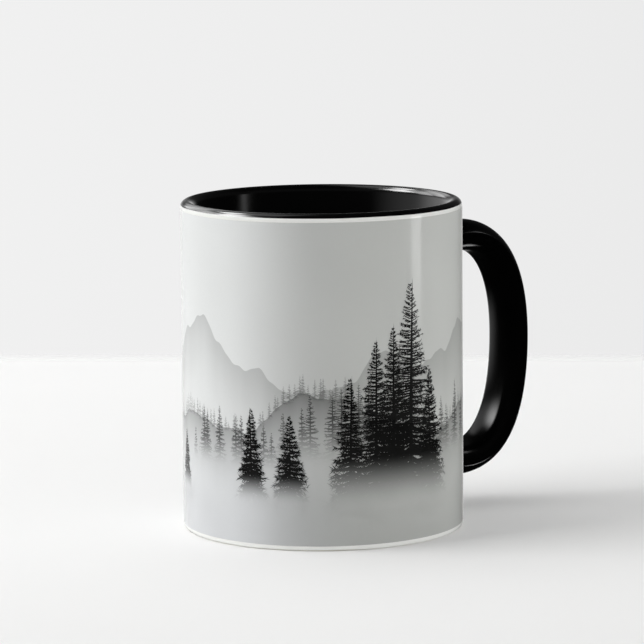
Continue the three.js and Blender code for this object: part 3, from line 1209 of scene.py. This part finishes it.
@dataclass
class PrintedWrap:
    """The printed film: a pale sky that fades into mist, two ridges and three rows of pines."""

    cup: Cup
    low: float
    high: float
    start: float = 18.0  # azimuth of its first edge, in degrees from the handle
    end: float = 342.0
    film_inside: float = 0.05 * MM  # over the outer glaze
    film_outside: float = 0.1 * MM
    across: int = 432
    up: int = 92
    ridge_rows: int = 14
    seed: int = 11

    @classmethod
    def from_frame(cls, cup: Cup) -> "PrintedWrap":
        """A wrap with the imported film's lower and upper edge."""
        low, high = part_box("print_wrap")
        return cls(cup, low[2], high[2])

    @property
    def radius(self) -> float:
        """Radius of the film's face."""
        return self.cup.wall + self.film_outside

    def along(self, bearing: object) -> np.ndarray:
        """Distance round the wrap from the handle's azimuth to a bearing in degrees."""
        return np.radians(bearing) * self.radius

    def bearings(self, flat: np.ndarray) -> np.ndarray:
        """Bearings of places on the unrolled wrap, in degrees from the handle."""
        return np.degrees(flat[..., 0] / self.radius)

    def paper(self, flat: np.ndarray) -> np.ndarray:
        """Colour of the sky and the mist at places on the unrolled wrap."""
        return PAPER.colour(self.bearings(flat), flat[..., 1])

    def valley(self, flat: np.ndarray) -> np.ndarray:
        """Colour of the sky with the ridges in front of it.

        Args:
            flat: Places on the unrolled wrap.

        Returns:
            Colours of the places.
        """
        bearing, height = self.bearings(flat), flat[..., 1]
        colour = self.paper(flat)
        for ridge in RIDGES:
            veil = np.where(height < ridge.line(bearing), ridge.veil(bearing, height), 1.0)
            colour = colour * veil[..., None]
        return colour

    def rolled(self, flat: np.ndarray, lift: np.ndarray | float) -> np.ndarray:
        """Carries places on the unrolled wrap round the cup.

        Args:
            flat: The places.
            lift: Their height over the film's face.

        Returns:
            Points in space.
        """
        turn = flat[..., 0] / self.radius
        radius = self.radius + lift
        across = self.cup.axis + radius * np.cos(turn)
        return np.stack([across, radius * np.sin(turn), flat[..., 1]], axis=-1)

    def layer(self, name: str, surface: Surface, ink: np.ndarray) -> bpy.types.Object:
        """Builds a printed layer.

        Args:
            name: Name of the piece.
            surface: Its mesh.
            ink: Colour of each point.

        Returns:
            The piece, with its colours in an attribute.
        """
        piece = surface.build(name)
        attribute = piece.data.attributes.new(INK, "FLOAT_COLOR", "POINT")
        opaque = np.concatenate([ink, np.ones((len(ink), 1))], axis=1)
        attribute.data.foreach_set("color", opaque.ravel())
        return piece

    def film(self) -> tuple[Surface, np.ndarray]:
        """The film with its sky: a thin curved slab whose face is a grid of bearing by height.

        Returns:
            The film and the colours of its points.
        """
        heights = np.linspace(self.low, self.high, self.up + 1)
        turn = np.radians(np.linspace(self.start, self.end, self.across + 1))
        ring = np.concatenate([heights, [self.high, self.low]])
        inner = self.film_inside - self.film_outside
        lift = np.concatenate([np.zeros(self.up + 1), [inner, inner]])
        flat = np.stack(np.broadcast_arrays(turn[None, :] * self.radius, ring[:, None]), axis=-1)
        points = self.rolled(flat, lift[:, None]).reshape(-1, 3)
        columns = self.across + 1
        sides = grid_quads(len(ring), columns, True, False)
        first = np.arange(len(ring)) * columns
        ends = np.stack([first, first[::-1] + self.across])
        surface = Surface(points, [sides, ends])
        return surface, self.paper(flat).reshape(-1, 3)

    def ridge(self, order: int) -> tuple[Surface, np.ndarray]:
        """A hazy ridge as a strip from its crest down into the mist.

        The point at share t up the strip is depth (1 - t) under the crest.

        Args:
            order: Its place among the ridges, from the back.

        Returns:
            The strip and the colours of its points.
        """
        ridge = RIDGES[order]
        bearing = np.linspace(self.start, self.end, 2 * self.across + 1)
        share = np.linspace(0.0, 1.0, self.ridge_rows + 1)[:, None]
        height = ridge.line(bearing) - ridge.depth * (1 - share)
        flat = np.stack(np.broadcast_arrays(self.along(bearing), height), axis=-1)
        colour = self.paper(flat)
        for veiled in RIDGES[: order + 1]:
            colour = colour * veiled.veil(self.bearings(flat), height)[..., None]
        points = self.rolled(flat, ridge.lift).reshape(-1, 3)
        quads = grid_quads(self.ridge_rows + 1, len(bearing), False, False)
        return Surface(points, [quads]), colour.reshape(-1, 3)

    def pines(self, row: Row) -> tuple[Surface, np.ndarray]:
        """All pines of one row as a sheet of strokes, each a hair over the one before.

        Args:
            row: Which row.

        Returns:
            The strokes and the colours of their points.
        """
        style = STYLES[row]
        draw = np.random.default_rng(self.seed + list(Row).index(row))
        points, colours, faces, total = [], [], [], 0
        for grove in (grove for grove in GROVES if grove.row is row):
            bearings = grove.bearings(draw)
            heights = grove.heights(draw)
            ground = RIDGES[-1].line(bearings) if row is Row.FAR else 0.0
            haze = np.broadcast_to(ground + grove.foot, grove.count)
            shift = draw.uniform(-1.0, 1.0, grove.count) * grove.foot_scatter
            feet = haze + style.tier_gap * shift
            for bearing, height, low, mist in zip(bearings, heights, feet, haze):
                foot = np.array([self.along(bearing), low])
                for steps, strokes in zip(STROKE_STEPS, style.pine(foot, height, draw)):
                    flat, blocks = strokes.outline(steps)
                    over = style.lift + style.stack * draw.uniform(size=(len(flat), 1))
                    above = (flat[..., 1] - mist) / heights.mean()
                    fade = smooth_step(above, MIST_FOOT, style.mist)[..., None]
                    ink = self.valley(flat) * (1 - fade * (1 - style.tone))
                    points.append(self.rolled(flat, over).reshape(-1, 3))
                    colours.append(ink.reshape(-1, 3))
                    faces.extend(block + total for block in blocks)
                    total += flat.shape[0] * flat.shape[1]
        quads = np.concatenate([block for block in faces if block.shape[1] == 4])
        tips = np.concatenate([block for block in faces if block.shape[1] == 3])
        return Surface(np.concatenate(points), [quads, tips]), np.concatenate(colours)

    def build(self) -> None:
        """Builds and dresses the film and its printed layers."""
        material = PRINT.material()
        layers = (
            ("print_sky", self.film()),
            *((ridge.name, self.ridge(order)) for order, ridge in enumerate(RIDGES)),
            *((f"print_{row.value}_pines", self.pines(row)) for row in Row),
        )
        for name, (surface, ink) in layers:
            nodes = ("print_wrap",) if name == "print_sky" else ()
            dress(self.layer(name, surface, ink), material, Slot.PRINT_FILM, *nodes)


# Handle


def wide_arc(half: float, bow: float, edge: float) -> tuple[float, float, np.ndarray]:
    """Works out a bowed face with rounded edges.

    Args:
        half: Half its width.
        bow: Rise of its middle over the ends of its full width.
        edge: Radius of its edges.

    Returns:
        Its radius, half its angle, and where its edge's centre lies from its middle: aside and in.
    """
    radius = (half**2 + bow**2) / (2 * bow)
    angle = math.asin((half - edge) / (radius - edge))
    return radius, angle, np.array([half - edge, radius - (radius - edge) * math.cos(angle)])


def rounded(
    centre: Sequence[float], radius: float, start: float, end: float, steps: int
) -> np.ndarray:
    """Points and normals of an arc in the strap's section.

    Point i is centre + radius (cos a, sin a), with a going from start to end in equal steps.

    Args:
        centre: The arc's centre.
        radius: Its radius.
        start: First angle, in radians.
        end: Last angle.
        steps: Number of steps.

    Returns:
        A row for each point, with its place and its normal side by side.
    """
    angle = np.linspace(start, end, steps + 1)
    normal = np.stack([np.cos(angle), np.sin(angle)], axis=1)
    return np.concatenate([np.asarray(centre) + radius * normal, normal], axis=1)


def straight(first: np.ndarray, last: np.ndarray, steps: int) -> np.ndarray:
    """Points and normals between the ends of two arcs, without those ends."""
    share = np.linspace(0.0, 1.0, steps + 1)[1:-1, None]
    return first + (last - first) * share


@dataclass
class Handle:
    """The glazed handle: a crowned strap bent to a C, with roots that flare out on the wall."""

    cup: Cup
    reach: float  # from the wall to the outermost point of the crown
    width: float = 13.4 * MM
    finger_width: float = 13 * MM
    thickness: float = 9.4 * MM
    crown: float = 3.6 * MM
    crown_edge: float = 0.9 * MM
    finger_bow: float = 0.9 * MM
    finger_edge: float = 3.5 * MM
    upper_drop: float = 16.3 * MM
    lower_height: float = 15.1 * MM
    grip_raise: float = 1.8 * MM
    upper_rise: float = 17.0  # degrees over level at which the upper end leaves the wall
    lower_dip: float = 18.5  # degrees under level at the lower end
    upper_fullness: float = 0.73  # length of the curve's handles, against its reach out and up
    lower_fullness: float = 0.745
    root_fillet: float = 1.6 * MM
    root_edge: float = 13.0  # degrees of the fillet's quarter round that are left off at its thin end
    root_sink: float = 0.06 * MM  # of its ends into the wall
    grip_rows: int = 170
    root_rows: int = 14
    root_rounds: int = 25  # of stepping towards a root's place
    line_steps: int = 1200  # along each half of the centre line
    finger_steps: int = 14
    flank_steps: int = 5
    edge_steps: int = 10
    crown_steps: int = 30
    face_steps: int = 12

    @classmethod
    def from_frame(cls, cup: Cup) -> "Handle":
        """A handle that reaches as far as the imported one."""
        _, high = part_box("handle_glaze")
        return cls(cup, high[0] - cup.axis - cup.wall)

    def centre_line(self) -> tuple[np.ndarray, np.ndarray]:
        """The handle's centre line from the upper root to the lower one.

        Two cubic Bezier curves meet at the grip. Each leaves its root at the root's slope and
        reaches the grip upright, with handles as long as its fullness says.

        Returns:
            Distances along the line, and places as distance from the axis and height.
        """
        cup = self.cup
        upper = np.array([cup.wall, cup.height - self.upper_drop])
        lower = np.array([cup.wall, self.lower_height])
        middle = (upper[1] + lower[1]) / 2 + self.grip_raise
        grip = np.array([cup.wall + self.reach - self.thickness / 2, middle])
        span = grip[0] - cup.wall
        rise, dip = math.radians(self.upper_rise), math.radians(self.lower_dip)
        upper_out = self.upper_fullness * span * np.array([math.cos(rise), math.sin(rise)])
        lower_out = self.lower_fullness * span * np.array([math.cos(dip), -math.sin(dip)])
        upper_up = np.array([0.0, self.upper_fullness * (upper[1] - middle)])
        lower_down = np.array([0.0, self.lower_fullness * (lower[1] - middle)])
        share = np.linspace(0.0, 1.0, self.line_steps + 1)[:, None]
        rest = 1 - share
        weights = (rest**3, 3 * share * rest**2, 3 * share**2 * rest, share**3)
        above = (upper, upper + upper_out, grip + upper_up, grip)
        below = (grip, grip + lower_down, lower + lower_out, lower)
        curves = [sum(w * p for w, p in zip(weights, points)) for points in (above, below)]
        places = np.concatenate([curves[0], curves[1][1:]])
        steps = np.linalg.norm(np.diff(places, axis=0), axis=1)
        return np.concatenate([[0.0], np.cumsum(steps)]), places

    def section(self) -> tuple[np.ndarray, np.ndarray]:
        """Outline of the strap: sideways and outward from its centre line, with the normals.

        The crown and the bowed finger face are wide arcs, with smaller arcs round their edges, and
        each flank is the straight line that touches the edges on its side.

        Returns:
            Points and normals, going round once.
        """
        top = np.array([0.0, self.thickness / 2])
        crown_radius, crown_half, inset = wide_arc(self.width / 2, self.crown, self.crown_edge)
        edge = top + inset * np.array([1.0, -1.0])
        finger_half = self.finger_width / 2
        face_radius, face_half, inset = wide_arc(finger_half, self.finger_bow, self.finger_edge)
        finger = inset - top
        between = edge - finger
        lean = math.acos((self.finger_edge - self.crown_edge) / np.linalg.norm(between))
        flank = math.atan2(between[1], between[0]) - lean
        edge_end = math.pi / 2 - crown_half
        down = -math.pi / 2

        finger_round = rounded(finger, self.finger_edge, down + face_half, flank, self.finger_steps)
        edge_round = rounded(edge, self.crown_edge, flank, edge_end, self.edge_steps)
        flank_line = straight(finger_round[-1], edge_round[0], self.flank_steps)
        right = np.concatenate([finger_round, flank_line, edge_round])
        middle = (0.0, top[1] - crown_radius)
        crown = rounded(middle, crown_radius, edge_end, math.pi - edge_end, self.crown_steps)
        left = right[::-1] * np.array([-1.0, 1.0, -1.0, 1.0])
        middle = (0.0, face_radius - top[1])
        face = rounded(middle, face_radius, down - face_half, down + face_half, self.face_steps)
        ring = np.concatenate([right, crown[1:-1], left, face[1:-1]])
        return ring[:, :2], ring[:, 2:]

    def place(self, distance: np.ndarray, grow: np.ndarray) -> np.ndarray:
        """Points of the strap's surface, with the cup's axis at x = 0.

        A point is its centre line's place, plus its section's sideways part along y, plus its
        outward part along the line's normal. Past its ends the line runs on straight.

        Args:
            distance: Along the centre line, by row and section point.
            grow: How far each point lies outside the section.

        Returns:
            Points by row and section point.
        """
        along, places = self.centre_line()
        outline, normal = self.section()
        slope = np.gradient(places, along, axis=0)
        held = np.clip(distance, along[0], along[-1])
        past = distance - held
        across, height, tangent_x, tangent_z = (
            np.interp(held, along, values) for values in (*places.T, *slope.T)
        )
        size = np.hypot(tangent_x, tangent_z)
        tangent_x, tangent_z = tangent_x / size, tangent_z / size
        aside = outline[:, 0] + grow * normal[:, 0]
        out = outline[:, 1] + grow * normal[:, 1]
        x = across + past * tangent_x - out * tangent_z
        z = height + past * tangent_z + out * tangent_x
        return np.stack([x, np.broadcast_to(aside, x.shape), z], axis=-1)

    def root(self, end: int) -> tuple[np.ndarray, np.ndarray]:
        """Rows of one root, from inside the wall out to where its fillet ends.

        The fillet is a quarter round: at angle a it lies F (1 - cos a) from the wall and stands
        F (1 - sin a) out from the section, where F is its radius. The distance along the centre
        line that brings a point to its place is found by stepping towards it.

        Args:
            end: 1 for the upper root, -1 for the lower one.

        Returns:
            Distances along the centre line and growths, by row and section point.
        """
        along, _ = self.centre_line()
        count = len(self.section()[0])
        angle = np.radians(np.linspace(self.root_edge, 90.0, self.root_rows))
        gap = np.concatenate([[-self.root_sink], self.root_fillet * (1 - np.cos(angle))])
        grow = self.root_fillet * (1 - np.sin(angle))
        grow = np.broadcast_to(np.concatenate([grow[:1], grow])[:, None], (len(gap), count))
        start = along[0] if end > 0 else along[-1]
        distance = np.full(grow.shape, start)
        for _ in range(self.root_rounds):
            points = self.place(distance, grow)
            short = gap[:, None] - (np.hypot(points[..., 0], points[..., 1]) - self.cup.wall)
            distance = distance + end * short
        return distance, grow

    def surface(self) -> Surface:
        """The glaze as a sleeve: its finished face from root to root, then its inner face back.

        Returns:
            The closed surface, with the cup's axis at x = 0.
        """
        upper, upper_grow = self.root(1)
        lower, lower_grow = self.root(-1)
        share = np.linspace(0.0, 1.0, self.grip_rows + 1)[1:-1, None]
        grip = upper[-1] * (1 - share) + lower[-1] * share
        distance = np.concatenate([upper, grip, lower[::-1]])
        grow = np.concatenate([upper_grow, np.zeros_like(grip), lower_grow[::-1]])
        front = self.place(distance, grow)
        back = self.place(distance, grow - self.cup.glaze)[::-1]
        points = np.concatenate([front, back])
        quads = grid_quads(len(points), points.shape[1], True, True)
        return Surface(points.reshape(-1, 3), [quads]).facing_out()

    def build(self) -> None:
        """Builds the glaze, and dresses the clay and the slip inside it."""
        surface = self.surface()
        surface.points[:, 0] += self.cup.axis
        coat = surface.build("handle_glaze_coat")
        dress(coat, HANDLE_GLAZE.material(), Slot.BLACK_GLAZE, "handle_glaze")
        inside = {
            "handle_core": BARE_CLAY_WITH_PAINTED_SHADE,
            "upper_luting_joint": JOINT_SLIP,
            "lower_luting_joint": JOINT_SLIP,
        }
        for node, finish in inside.items():
            piece = frame["nodes"][node]
            piece.data.materials.clear()
            piece.data.materials.append(finish.material())
            piece.visible_glossy = False
            log.info("%s: dressed as it is", node)


# Studio


@dataclass(frozen=True)
class Viewpoint:
    """The camera's place: the picture's right and depth are turned from the handle's direction."""

    turn: float = 38.0  # of the handle, away from the picture's right into its depth
    elevation: float = 8.304
    roll: float = -0.484
    distance: float = 1.0611
    aim_height: float = 59.918 * MM
    lens: float = 202.9  # millimetres, on a sensor of 36
    sensor: float = 36.0
    nearest: float = 0.05  # distance from the camera at which things start to show

    def level(self, bearing: float) -> Vector:
        """Level direction at a bearing, in degrees round from the picture's right into its depth."""
        turn = math.radians(bearing - self.turn)
        return Vector((math.cos(turn), math.sin(turn), 0.0))

    def right(self) -> Vector:
        """Direction of the picture's right."""
        return self.level(0.0)

    def away(self) -> Vector:
        """Level direction into the picture."""
        return self.level(90.0)

    def build(self, axis: float) -> None:
        """Sets up the camera.

        Args:
            axis: x of the cup's axis, which it looks at.
        """
        lift, roll = math.radians(self.elevation), math.radians(self.roll)
        ahead = self.away() * math.cos(lift) - Vector((0.0, 0.0, math.sin(lift)))
        level = self.right()
        upright = level.cross(ahead)
        side = level * math.cos(roll) + upright * math.sin(roll)
        top = upright * math.cos(roll) - level * math.sin(roll)
        place = Vector((axis, 0.0, self.aim_height)) - ahead * self.distance
        camera = bpy.data.objects.new("camera", bpy.data.cameras.new("camera"))
        camera.data.sensor_fit = "HORIZONTAL"
        camera.data.sensor_width = self.sensor
        camera.data.lens = self.lens
        camera.data.clip_start = self.nearest
        camera.matrix_world = Matrix(
            [(side[k], top[k], -ahead[k], place[k]) for k in range(3)] + [(0.0, 0.0, 0.0, 1.0)]
        )
        bpy.context.scene.collection.objects.link(camera)
        bpy.context.scene.camera = camera


LAMP_POWER = 4  # watts of a square metre of area lamp for each unit of radiance


class LampUse(Enum):
    """What a lamp does."""

    LIGHT = "lights matt colours"
    CARD = "shows in gloss"


@dataclass(frozen=True)
class Softbox:
    """A soft rectangular lamp that faces the mug."""

    name: str
    bearing: float  # in degrees round from the picture's right into its depth
    elevation: float
    distance: float
    width: float
    height: float
    radiance: float  # at its middle
    use: LampUse
    pieces: tuple[str, ...] = ()  # how the names of those that it reaches start; it reaches all if empty
    soft: float = 0.0  # share of its half width and half height over which it fades out
    through: bool = False  # whether nothing stops it but the glaze under the cup

    def fade(self, lamp: bpy.types.Light) -> None:
        """Fades the lamp out towards its edges.

        Across the lamp each parametric coordinate goes from 0 to 1, so its edges are 0.5 off the middle.

        Args:
            lamp: The lamp.
        """
        lamp.use_nodes = True
        bench = NodeBench(lamp.node_tree)
        place = bench.node("ShaderNodeSeparateXYZ")
        bench.feed(place.inputs[0], bench.node("ShaderNodeNewGeometry").outputs["Parametric"])
        edge = (0.5 - 0.5 * self.soft, 0.5)
        shares = []
        for side in ("X", "Y"):
            aside = bench.maths("ABSOLUTE", bench.maths("SUBTRACT", place.outputs[side], 0.5))
            shares.append(bench.spread(aside, edge, 1.0, 0.0, "SMOOTHSTEP"))
        bench.feed(lamp.node_tree.nodes["Emission"].inputs["Strength"], bench.product(*shares))

    def link(self, holder: bpy.types.Object) -> None:
        """Limits the lamp to the pieces that it reaches, and limits what stops it.

        Args:
            holder: The lamp's object.
        """
        if self.pieces:
            reached = bpy.data.collections.new(self.name)
            for piece in bpy.data.objects:
                if piece.name.startswith(self.pieces):
                    reached.objects.link(piece)
            holder.light_linking.receiver_collection = reached
        if self.through:
            blockers = bpy.data.collections.new(f"{self.name}_blockers")
            blockers.objects.link(bpy.data.objects["cup_base_glaze"])
            holder.light_linking.blocker_collection = blockers

    def build(self, view: Viewpoint, aim: Vector) -> None:
        """Hangs the lamp.

        Args:
            view: The viewpoint that the bearing is measured from.
            aim: Point that it faces.
        """
        lift = math.radians(self.elevation)
        back = view.level(self.bearing) * math.cos(lift) + Vector((0.0, 0.0, math.sin(lift)))
        lamp = bpy.data.lights.new(self.name, "AREA")
        lamp.shape = "RECTANGLE"
        lamp.size = self.width
        lamp.size_y = self.height
        lamp.energy = LAMP_POWER * self.width * self.height * self.radiance
        holder = bpy.data.objects.new(self.name, lamp)
        holder.visible_glossy = self.use is LampUse.CARD
        holder.visible_diffuse = self.use is LampUse.LIGHT
        if self.soft:
            self.fade(lamp)
        self.link(holder)
        holder.location = aim + back * self.distance
        holder.rotation_euler = back.to_track_quat("Z", "Y").to_euler()
        bpy.context.scene.collection.objects.link(holder)


# Starts of the names of the pieces that a lamp may be limited to
TABLE_TOP = ("table_top",)
PALE = ("cup_outer", "print_")
LINER = ("cup_liner",)
HANDLE = ("handle_glaze",)
SOFTBOXES = (
    Softbox("window_left", 193, 35, 2.0, 1.2, 0.6, 7.6, LampUse.LIGHT),
    Softbox("key_left", 186, 31, 2.0, 2.0, 1.0, 0.6, LampUse.LIGHT),
    Softbox("fill_right", -22, 26, 2.0, 1.4, 1.0, 2.05, LampUse.LIGHT, through=True),
    Softbox("overhead", 101, 69, 1.7, 1.7, 1.3, 1.5, LampUse.LIGHT, through=True),
    Softbox("overhead_left", 140, 68, 1.7, 1.5, 1.2, 0.44, LampUse.LIGHT),
    Softbox("table_left", 163, 35, 2.0, 1.2, 0.6, 2.3, LampUse.LIGHT, TABLE_TOP),
    Softbox("side_right", -10, 6, 1.5, 0.6, 0.6, 2.6, LampUse.LIGHT, PALE),
    Softbox("strip_right", -8, -2.5, 1.5, 0.32, 0.3, 4.2, LampUse.CARD, PALE, 0.3),
    Softbox("rim_window", 182, 36, 2.0, 1.0, 1.1, 17.0, LampUse.CARD, LINER, 0.4),
    Softbox("rim_top", 147, 51, 2.0, 1.0, 0.52, 12.0, LampUse.CARD, LINER, 0.4),
    Softbox("rim_side", 155, 25, 2.0, 1.0, 1.2, 4.5, LampUse.CARD, LINER, 0.4),
    Softbox("rim_back", 127, 25, 2.0, 1.1, 1.2, 2.6, LampUse.CARD, LINER, 0.4),
    Softbox("rim_far", 104, 26, 2.0, 0.7, 1.0, 1.1, LampUse.CARD, LINER, 0.5),
    Softbox("rim_sky", 150, 68, 2.0, 2.0, 0.9, 0.9, LampUse.CARD, LINER, 0.6),
    Softbox("mouth_back", 153, -6, 2.0, 2.1, 1.1, 0.42, LampUse.CARD, LINER, 1.0),
    Softbox("mouth_side", 183, -6, 2.0, 3.6, 1.1, 0.5, LampUse.CARD, LINER, 1.0),
    Softbox("mouth_strip", -14, -5, 1.5, 0.2, 0.5, 1.15, LampUse.CARD, LINER, 0.5),
    Softbox("grip_window", 175, 35.5, 2.0, 1.36, 1.55, 22.0, LampUse.CARD, HANDLE, 1.0),
    Softbox("grip_back", 138, 28, 2.0, 1.8, 1.3, 1.0, LampUse.CARD, HANDLE, 0.5),
    Softbox("grip_side", 152, -8, 2.0, 0.9, 1.4, 0.7, LampUse.CARD, HANDLE, 1.0),
    Softbox("grip_strip", 9, 31, 1.5, 0.36, 0.37, 6.0, LampUse.CARD, HANDLE, 0.4),
    Softbox("grip_table", 18, -42, 1.0, 0.27, 0.32, 12.0, LampUse.CARD, HANDLE, 0.5),
)


@dataclass(frozen=True)
class Studio:
    """A pale table top in a dim room, with soft lamps and a pale wall behind.

    Each span holds two values of a view direction's part along an axis, where a change starts and
    where it is complete. The axis is up, or level at a bearing.
    """

    view: Viewpoint
    room_middle: float = 0.45  # brightness of the room's walls
    room_ends: float = 0.08  # brightness of its ceiling and its floor
    room_mirrored: float = 0.15  # share of it that glossy surfaces show
    wall_bearing: float = 118.0  # of the middle of the wall that glossy surfaces show
    wall_left: float = 0.875  # brightness of the wall behind at the picture's edges; its fall from left to right is painted light
    wall_right: float = 0.83
    table_left: float = 0.5  # reach of the table from the cup's axis, as the picture sees it
    table_right: float = 0.25
    table_front: float = 0.7
    table_back: float = 0.327
    table_skew: float = 0.054  # how much nearer its far edge comes with each metre to the right
    table_fade: float = 20 * MM  # depth over which its far edge fades out
    table_near_painted_light: float = 0.83  # factors on the table's colour that paint light: darker at the front, brighter at the far edge
    table_far_painted_light: float = 1.025
    aim_height: float = 45 * MM
    wall_edge: Span = (0.62, 0.91)  # along the wall's bearing, where gloss shows it
    wall_foot: Span = (-0.32, -0.22)  # up, where it begins in gloss
    wall_top: Span = (-0.04, 0.16)  # up, where it ends in gloss
    wall_sides: Span = (-0.09, 0.09)  # to the right, at the picture's two edges
    room_foot: Span = (-0.1, 0.12)  # up, where the room's walls begin
    room_top: Span = (0.5, 0.8)  # up, where they end
    room_depth: Span = (-0.3, 0.6)  # into the picture, where the room gets dimmer
    room_far: float = 0.5  # share of its brightness that is left there

    def table(self, axis: float) -> None:
        """Lays the table top: a face up to where the fade starts, and one from there to its far edge.

        Args:
            axis: x of the cup's axis.
        """
        right, away = self.view.right(), self.view.away()
        points = []
        for reach in (-self.table_front, self.table_back - self.table_fade, self.table_back):
            for aside in (-self.table_left, self.table_right):
                depth = reach - self.table_skew * aside
                points.append(Vector((axis, 0.0, 0.0)) + right * aside + away * depth)
        top = Surface(np.array(points), [np.array([[0, 1, 3, 2], [2, 3, 5, 4]])]).build("table_top")
        cover = top.data.attributes.new(COVER, "FLOAT", "POINT")
        cover.data.foreach_set("value", [1.0, 1.0, 1.0, 1.0, 0.0, 0.0])
        tone = top.data.attributes.new(PAINTED_LIGHT, "FLOAT", "POINT")
        # painted light: the table's colour is darker at the front and brighter at the far edge
        tone.data.foreach_set("value", [self.table_near_painted_light] * 2 + [self.table_far_painted_light] * 4)
        top.data.materials.append(TABLE.material())
        top.visible_glossy = False

    def room_light(self) -> None:
        """Lights the room evenly, and shows the wall to the camera and behind the mug."""
        world = bpy.data.worlds.new("room")
        world.use_nodes = True
        bpy.context.scene.world = world
        bench = NodeBench(world.node_tree)
        background = world.node_tree.nodes["Background"]
        ray = bench.node("ShaderNodeLightPath").outputs
        shows = bench.maths("MAXIMUM", ray["Is Glossy Ray"], ray["Is Transmission Ray"])
        direction = bench.node("ShaderNodeTexCoord").outputs["Generated"]
        rise = bench.along(direction, Vector((0.0, 0.0, 1.0)))
        towards = bench.along(direction, self.view.level(self.wall_bearing))
        behind = bench.spread(towards, self.wall_edge)
        low = bench.spread(rise, self.wall_top, 1.0, 0.0)
        backdrop = bench.product(shows, behind, low, bench.spread(rise, self.wall_foot))
        seen = bench.maths("MAXIMUM", ray["Is Camera Ray"], backdrop)
        under_ceiling = bench.spread(rise, self.room_top, 1.0, 0.0)
        facing = bench.along(direction, self.view.away())
        nearby = bench.spread(facing, self.room_depth, 1.0, self.room_far)
        band = bench.product(bench.spread(rise, self.room_foot), under_ceiling, nearby)
        room = bench.spread(band, WHOLE, self.room_ends, self.room_middle)
        dimmed = bench.spread(shows, WHOLE, 1.0, self.room_mirrored)
        across = bench.along(direction, self.view.right())
        wall = bench.spread(across, self.wall_sides, self.wall_left, self.wall_right)
        colour = bench.mix(seen, bench.product(room, dimmed), wall)
        bench.feed(background.inputs["Color"], colour)

    def build(self, axis: float) -> None:
        """Sets up camera, table, room and lamps.

        Args:
            axis: x of the cup's axis.
        """
        self.view.build(axis)
        self.table(axis)
        self.room_light()
        for lamp in SOFTBOXES:
            lamp.build(self.view, Vector((axis, 0.0, self.aim_height)))
        bpy.context.scene.view_settings.view_transform = "Standard"


def main() -> None:
    """Builds the mug's parts in order, then the studio."""
    logging.basicConfig(level=logging.INFO, format="%(name)s %(message)s")
    cup = Cup.from_frame()
    cup.build()
    PrintedWrap.from_frame(cup).build()
    Handle.from_frame(cup).build()
    Studio(Viewpoint()).build(cup.axis)


if __name__ == "__main__":
    main()
